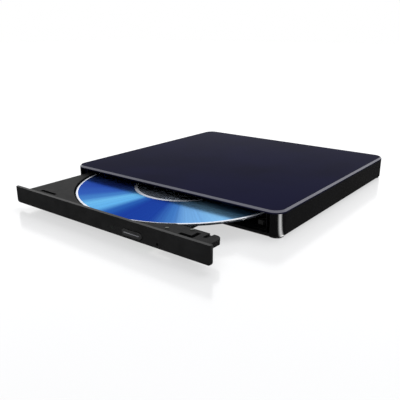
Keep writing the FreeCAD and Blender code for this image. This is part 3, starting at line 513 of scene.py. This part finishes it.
def solidBoxes(name):
    # lowest and highest corners of each separate solid of a node
    bm = bmesh.new()
    bm.from_mesh(nodes[name].data)
    bmesh.ops.remove_doubles(bm, verts=bm.verts, dist=edgeSettings["weldGap"])
    left, boxes = set(bm.verts), []
    while left:
        reached = [left.pop()]
        for vert in reached:
            for edge in vert.link_edges:
                other = edge.other_vert(vert)
                if other in left:
                    left.remove(other)
                    reached.append(other)
        boxes.append([Vector(pick(v.co[axis] for v in reached) for axis in range(3))
                      for pick in (min, max)])
    bm.free()
    return sorted(boxes, key=lambda box: tuple(box[0]))


def growRow(bm, first, last, count, size, material):
    # equal blocks from the first place to the last
    step = (Vector(last) - Vector(first)) / (count - 1)
    grow(bm, blockRow, Count=count, Start=tuple(first), Step=tuple(step), Size=tuple(size),
         Material=material)


legSettings = {"pitch": 0.8 * mm, "width": 0.35 * mm, "reach": 0.7 * mm, "height": 0.3 * mm,
               "cornersFree": 1 * mm, "fewest": 3}


def makeChipLegs(name, chipNode):
    # a row of legs along each of the four sides of every chip
    s = legSettings
    bm = bmesh.new()
    for low, high in solidBoxes(chipNode):
        middle, z = (low + high) / 2, low.z + s["height"] / 2
        count = max(s["fewest"], int((high.x - low.x - s["cornersFree"]) / s["pitch"]))
        spread = (count - 1) * s["pitch"] / 2
        legY, legX = (s["width"], s["reach"], s["height"]), (s["reach"], s["width"], s["height"])
        for y in (low.y - s["reach"] / 2, high.y + s["reach"] / 2):
            growRow(bm, (middle.x - spread, y, z), (middle.x + spread, y, z), count, legY, tinned)
        for x in (low.x - s["reach"] / 2, high.x + s["reach"] / 2):
            growRow(bm, (x, middle.y - spread, z), (x, middle.y + spread, z), count, legX, tinned)
    meshPiece(name, bm, "case", [tinned])


contactSettings = {"width": 0.5 * mm, "thickness": 0.08 * mm}
contactRows = {   # each row lies on a node, clear of its ends, and a gap in from its front or rear
    "usbContacts": {"on": "usb_tongue", "endGap": 0.6 * mm, "rearGap": 1.6 * mm, "count": 5,
                    "length": 2.6 * mm},
    "plugContacts": {"on": "bridge_plug", "endGap": 3 * mm, "frontGap": 0.8 * mm, "count": 24,
                     "length": 1.4 * mm, "overBoard": 2.0 * mm},
    "ribbonContacts": {"on": "ribbon_connector", "endGap": 1 * mm, "frontGap": 0.5 * mm, "count": 15,
                       "length": 0.9 * mm}}


def makeContacts(name):
    # gold-plated strips that lie flat and run along Y
    s, row = contactSettings, contactRows[name]
    low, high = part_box(row["on"])
    y = high.y - row["rearGap"] if "rearGap" in row else low.y + row["frontGap"]
    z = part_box("usb_bridge_board")[1].z + row["overBoard"] if "overBoard" in row else high.z
    bm = bmesh.new()
    growRow(bm, (low.x + row["endGap"], y, z), (high.x - row["endGap"], y, z), row["count"],
            (s["width"], row["length"], s["thickness"]), goldPlate)
    meshPiece(name, bm, "case", [goldPlate])


passiveSettings = {"cap": 0.4 * mm, "wider": 0.06 * mm, "taller": 0.04 * mm, "inset": 0.15 * mm}


def makePassiveEnds():
    # tinned caps on the two ends of each small component
    s = passiveSettings
    bm = bmesh.new()
    for low, high in solidBoxes("bridge_passives"):
        middle = (low + high) / 2
        size = (s["cap"], high.y - low.y + s["wider"], high.z - low.z + s["taller"])
        growRow(bm, (low.x + s["inset"], middle.y, middle.z), (high.x - s["inset"], middle.y, middle.z), 2,
                size, tinned)
    meshPiece("passiveEnds", bm, "case", [tinned])


tinned = makeMetal("tinnedCopper", "#b9bcc0", "#d8dadd", (0.2, 0.3))
goldPlate = makeMetal("goldPlatedContact", "#b98a33", "#e0b95c", (0.15, 0.25))
makeChipLegs("bridgeChipLegs", "bridge_chip")
makeChipLegs("mainChipLegs", "main_chips")
makePassiveEnds()
for name in contactRows:
    makeContacts(name)


coilSettings = {"turns": 24, "wire": 0.15 * mm, "sunk": 0.05 * mm, "endGap": 0.3 * mm}


def makeCoilTurns():
    # wire turns partly sunk in the latch coil
    s = coilSettings
    low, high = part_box("latch_coil")
    middle = (low + high) / 2
    radius = (high.z - low.z) / 2 - s["sunk"]
    first, last = low.x + s["endGap"], high.x - s["endGap"]
    step = (last - first) / (s["turns"] - 1)
    bm = bmesh.new()
    grow(bm, turnRow, Count=s["turns"], Start=(first, middle.y, middle.z), Step=(step, 0, 0),
         Radius=radius, Wire=s["wire"], Material=finishes["copper"])
    meshPiece("coilTurns", bm, "tray", [finishes["copper"]])


threadSettings = {"pitch": 3 * mm, "ridge": 0.16 * mm, "core": 0.82 * mm, "turn": math.radians(45)}


def makeLeadThread():
    # the screw lies in the turned mechanism, half a right angle from the case
    s = threadSettings
    low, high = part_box("lead_screw")
    radius = (high.z - low.z) / 2
    length = (high.x - low.x) * math.sqrt(2) - 2 * radius
    bm = bmesh.new()
    grow(bm, screwThread, Length=length, Core=s["core"], Helix=radius - s["ridge"], Ridge=s["ridge"],
         Turns=length / s["pitch"], Place=tuple((low + high) / 2), Turn=(math.radians(-90), 0, s["turn"]),
         Material=finishes["steel"])
    for face in bm.faces:
        face.smooth = len(face.verts) == 4
    item = meshPiece("leadScrewThreaded", bm, "lead_screw", [finishes["steel"]])
    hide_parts("lead_screw")


makeCoilTurns()
makeLeadThread()
print("repeated details made")


# flat cable, lens, tray nubs and button ridge

ribbonSettings = {"thickness": 0.08 * mm, "rise": 0.46 * mm, "upperEnd": 7 * mm, "steps": 24,
                  "arcSteps": 8, "tailDrop": 0.5 * mm, "tailBend": 0.1 * mm, "waveScale": 0.31 / mm}


def makeRibbonMaterial():
    # polyester flat cable: tinned conductors, about 1 mm apart, show as fine lines along it
    material, tree, shader = newMaterial("polyesterFlatCable")
    wave = addNode(tree, "ShaderNodeTexWave",
                   {"bands_direction": "X", "Scale": ribbonSettings["waveScale"]},
                   Vector=objectPlace(tree))
    ramp = addNode(tree, "ShaderNodeValToRGB", Fac=wave.outputs["Fac"])
    ramp.color_ramp.elements[0].color = hexColour("#e6e8ec")
    ramp.color_ramp.elements[1].color = hexColour("#9ea2aa")
    tree.links.new(ramp.outputs[0], shader.inputs["Base Color"])
    roughnessCloud(tree, shader, 3 * mm, 0.3, 0.4)
    return material


def makeStrip(name, path, x0, x1, body, material):
    # a flat cable whose underside follows the path of (y, z) points
    bm = bmesh.new()
    rows = []
    for index, (y, z) in enumerate(path):
        before, after = path[max(index - 1, 0)], path[min(index + 1, len(path) - 1)]
        along = Vector((after[0] - before[0], after[1] - before[1])).normalized()
        side = Vector((-along.y, along.x)) * ribbonSettings["thickness"]
        corners = ((x0, 0), (x1, 0), (x1, 1), (x0, 1))
        rows.append([bm.verts.new((x, y + side.x * lift, z + side.y * lift)) for x, lift in corners])
    for first, second in zip(rows, rows[1:]):
        for k in range(len(first)):
            beside = (k + 1) % len(first)
            bm.faces.new((first[k], first[beside], second[beside], second[k]))
    bm.faces.new(rows[0][::-1])
    bm.faces.new(rows[-1])
    bmesh.ops.recalc_face_normals(bm, faces=bm.faces)
    item = meshPiece(name, bm, body, [material])
    return item


def makeRibbon():
    # the lower run stays in the case, and the upper run joins it to the tray
    s = ribbonSettings
    low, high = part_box("ribbon_cable")
    radius = s["rise"] / 2
    turn = low.y + radius
    z0 = low.z + s["thickness"]
    material = makeRibbonMaterial()
    lower = [(high.y, high.z), (high.y, low.z + s["tailDrop"]), (high.y - s["tailBend"], z0)]
    lower += [(high.y + (turn - high.y) * k / s["steps"], z0) for k in range(1, s["steps"] + 1)]
    inner = radius - s["thickness"]
    bend = [math.pi * k / s["arcSteps"] for k in range(1, s["arcSteps"] + 1)]
    lower += [(turn - inner * math.sin(a), low.z + radius - inner * math.cos(a)) for a in bend]
    item = makeStrip("ribbonLower", lower, low.x, high.x, "case", material)
    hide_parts("ribbon_cable")
    z1 = low.z + s["rise"] - s["thickness"]
    upper = [(turn + (s["upperEnd"] - turn) * k / s["steps"], z1) for k in range(s["steps"] + 1)]
    item = makeStrip("ribbonUpper", upper, low.x, high.x, None, material)
    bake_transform(item)


lensSettings = {"pole": 0.02 * mm, "crown": 0.35 * mm, "steps": 48,   # curve: share of the radius, rise
                "curve": ((0.85, 0), (0.8, 0.08 * mm), (0.6, 0.2 * mm), (0.35, 0.3 * mm))}


def makeLens():
    # coated glass lens with a flat rim and a crowned middle
    s = lensSettings
    low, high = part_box("objective_lens")
    middle, radius = (low + high) / 2, (high.x - low.x) / 2
    rim = high.z - s["crown"]
    profile = [(s["pole"], low.z), (radius, low.z), (radius, rim)]
    profile += [(radius * share, rim + rise) for share, rise in s["curve"]]
    profile.append((s["pole"], high.z))
    bm = bmesh.new()
    lathe(bm, profile, middle, s["steps"])
    item = meshPiece("lensCrowned", bm, "lens", [finishes["lens_glass"]])
    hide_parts("objective_lens")


nubSettings = {"places": ((66.5 * mm, -57), (68.5 * mm, -47.6)), "width": 1.8 * mm, "length": 1.1 * mm,
               "sunk": 0.2 * mm, "height": 0.55 * mm, "corner": 0.55, "soft": 0.1 * mm, "segments": 2}


def makeTrayNubs():
    # small bumpers on the front bar, each a six-sided block facing the disc
    s = nubSettings
    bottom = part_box("tray")[1].z - s["sunk"]
    bm = bmesh.new()
    for radius, angle in s["places"]:
        a = math.radians(angle)
        across = Vector((-math.sin(a), math.cos(a), 0)) * s["width"] / 2
        out = Vector((math.cos(a), math.sin(a), 0))
        near, half, far = (out * (radius + s["length"] * k) for k in (0, 0.5, 1))
        corners = [near + across * s["corner"], half + across, far + across, far - across, half - across,
                   near - across * s["corner"]]
        base = [bm.verts.new((discMiddle.x + c.x, discMiddle.y + c.y, bottom)) for c in corners]
        cap = [bm.verts.new((v.co.x, v.co.y, bottom + s["height"])) for v in base]
        bm.faces.new(base[::-1])
        bm.faces.new(cap)
        for k in range(len(corners)):
            after = (k + 1) % len(corners)
            bm.faces.new((base[k], base[after], cap[after], cap[k]))
    bmesh.ops.recalc_face_normals(bm, faces=bm.faces)
    item = meshPiece("trayNubs", bm, "tray", [nubPlastic])
    bevel = item.modifiers.new("softEdge", "BEVEL")
    bevel.width = s["soft"]
    bevel.segments = s["segments"]


ridgeSettings = {"length": 9.6 * mm, "height": 0.42 * mm, "proud": 0.16 * mm, "sunk": 0.1 * mm,
                 "segments": 8}


def makeButtonRidge():
    # a raised line along the button that a fingertip finds; its light grey is a painted highlight line
    s = ridgeSettings
    low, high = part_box("eject_button")
    middle = (low + high) / 2
    half, radius, count = s["length"] / 2 - s["height"] / 2, s["height"] / 2, s["segments"]
    outline = []
    for sign, start in ((1, -90), (-1, 90)):   # a round end on each side
        for k in range(count + 1):
            a = math.radians(start + 180 * k / count)
            outline.append((sign * half + radius * math.cos(a), radius * math.sin(a)))
    bm = bmesh.new()
    front = [bm.verts.new((middle.x + x, low.y - s["proud"], middle.z + z)) for x, z in outline]
    back = [bm.verts.new((middle.x + x, low.y + s["sunk"], middle.z + z)) for x, z in outline]
    bm.faces.new(front)
    bm.faces.new(back[::-1])
    for k in range(len(front)):
        after = (k + 1) % len(front)
        bm.faces.new((front[k], front[after], back[after], back[k]))
    bmesh.ops.recalc_face_normals(bm, faces=bm.faces)
    meshPiece("buttonRidge", bm, "eject_button", [ridgePaintedHighlight])


nubPlastic = makeMouldedPlastic("greyNubAbs", "#454842", "#52554e", (0.4, 0.5), 0.4 * mm, 0.02 * mm)
# light grey for the button's ridge: a painted highlight line
ridgePaintedHighlight = makeMouldedPlastic("ridgePaintedHighlightAbs", "#77777a", "#8a8a8d", (0.25, 0.35),
                                  0.4 * mm, 0.005 * mm, 0.8)
makeRibbon()
makeLens()
makeTrayNubs()
makeButtonRidge()
print("flat cable, lens, nubs and ridge made")


# floor, light and camera

# the floor as glossy rays see it is painted: a dim glow in place of the white table, and a bright wedge that
# paints the highlight on the case's front corner
floorSettings = {"size": 3.0, "colour": "#8a8a8a", "roughness": 0.17, "ior": 1.8, "glow": 0.6,
                 "paintedReflectionLevel": 0.05, "paintedHighlight": 12.0, "paintedHighlightCorner": (0.0655, -0.0405),
                 "paintedHighlightTurn": math.radians(-14), "paintedHighlightSpread": 0.38}
lightSettings = {"place": (-0.3, 0.9, 1.6), "target": (0, 0, 0), "width": 2.0, "height": 1.4, "power": 34}
cameraSettings = {"place": (0.1765, -0.2418, 0.0937), "target": (0.01883, -0.03815, 0.007),
                  "lens": 45.74, "sensor": 36.0, "nearest": 0.01}


def makeFloor():
    s = floorSettings
    bm = bmesh.new()
    bmesh.ops.create_grid(bm, x_segments=1, y_segments=1, size=s["size"])
    mesh = bpy.data.meshes.new("paleFloor")
    bm.to_mesh(mesh)
    bm.free()
    material, tree, shader = newMaterial("polishedWhiteTable")
    setShader(shader, Base_Color=hexColour(s["colour"]), Roughness=s["roughness"], IOR=s["ior"],
              Emission_Color=hexColour("#ffffff"), Emission_Strength=s["glow"])
    # what glossy plastic mirrors is painted: glossy rays see the table as a dim glow, a painted dark
    # reflection, with one bright glowing wedge that spreads from the corner point, a painted highlight on the
    # case's front corner
    coords = addNode(tree, "ShaderNodeTexCoord")
    place = addNode(tree, "ShaderNodeMapping",
                    {"vector_type": "TEXTURE", "Location": (*s["paintedHighlightCorner"], 0),
                     "Rotation": (0, 0, s["paintedHighlightTurn"])}, Vector=coords.outputs["Object"])
    axes = addNode(tree, "ShaderNodeSeparateXYZ", i0=place.outputs[0])
    across = addNode(tree, "ShaderNodeMath", {"operation": "ABSOLUTE"}, i0=axes.outputs["Y"])
    slope = addNode(tree, "ShaderNodeMath", {"operation": "DIVIDE"}, i0=across.outputs[0],
                    i1=axes.outputs["X"])
    wedge = addNode(tree, "ShaderNodeMapRange",
                    {"From Min": 0.0, "From Max": s["paintedHighlightSpread"], "To Min": s["paintedHighlight"],
                     "To Max": s["paintedReflectionLevel"], "interpolation_type": "SMOOTHSTEP"}, Value=slope.outputs[0])
    ahead = addNode(tree, "ShaderNodeMath", {"operation": "GREATER_THAN", 1: 0.0}, i0=axes.outputs["X"])
    level = addNode(tree, "ShaderNodeMix", {"data_type": "FLOAT", "A": s["paintedReflectionLevel"]},
                    Factor=ahead.outputs[0], B=wedge.outputs[0])
    paintedReflection = addNode(tree, "ShaderNodeEmission", Strength=level.outputs[0])
    path = addNode(tree, "ShaderNodeLightPath")
    mixed = addNode(tree, "ShaderNodeMixShader", i0=path.outputs["Is Glossy Ray"], i1=shader.outputs[0],
                    i2=paintedReflection.outputs[0])
    out = next(n for n in tree.nodes if n.type == "OUTPUT_MATERIAL")
    tree.links.new(mixed.outputs[0], out.inputs[0])
    mesh.materials.append(material)
    item = bpy.data.objects.new("paleFloor", mesh)
    bpy.context.scene.collection.objects.link(item)


def aim(item, place, target):
    item.location = place
    item.rotation_euler = (Vector(target) - Vector(place)).to_track_quat("-Z", "Y").to_euler()


def makeSoftbox():
    s = lightSettings
    light = bpy.data.lights.new("overheadSoftbox", "AREA")
    light.shape = "RECTANGLE"
    light.size = s["width"]
    light.size_y = s["height"]
    light.energy = s["power"]
    item = bpy.data.objects.new("overheadSoftbox", light)
    item.visible_glossy = False   # glossy surfaces mirror the plain white room instead
    bpy.context.scene.collection.objects.link(item)
    aim(item, s["place"], s["target"])


worldSettings = {"white": 1.0, "room": 0.7}   # dimmer for diffuse light, so the softbox shapes the shadows


def makeWorld():
    world = bpy.data.worlds.new("studio")
    bpy.context.scene.world = world
    world.use_nodes = True
    tree = world.node_tree
    tree.nodes.clear()
    path = addNode(tree, "ShaderNodeLightPath")
    white = addNode(tree, "ShaderNodeBackground",
                    {"Color": hexColour("#ffffff"), "Strength": worldSettings["white"]})
    room = addNode(tree, "ShaderNodeBackground",
                   {"Color": hexColour("#eef0f6"), "Strength": worldSettings["room"]})
    mixed = addNode(tree, "ShaderNodeMixShader", i0=path.outputs["Is Diffuse Ray"], i1=white.outputs[0],
                    i2=room.outputs[0])
    out = addNode(tree, "ShaderNodeOutputWorld")
    tree.links.new(mixed.outputs[0], out.inputs[0])


def makeCamera():
    s = cameraSettings
    camera = bpy.data.cameras.new("studioCamera")
    camera.lens = s["lens"]
    camera.sensor_width = s["sensor"]
    camera.clip_start = s["nearest"]
    item = bpy.data.objects.new("studioCamera", camera)
    bpy.context.scene.collection.objects.link(item)
    aim(item, s["place"], s["target"])
    bpy.context.scene.camera = item


bpy.context.scene.view_settings.view_transform = "Standard"
makeFloor()
makeWorld()
makeSoftbox()
makeCamera()
print("studio made")
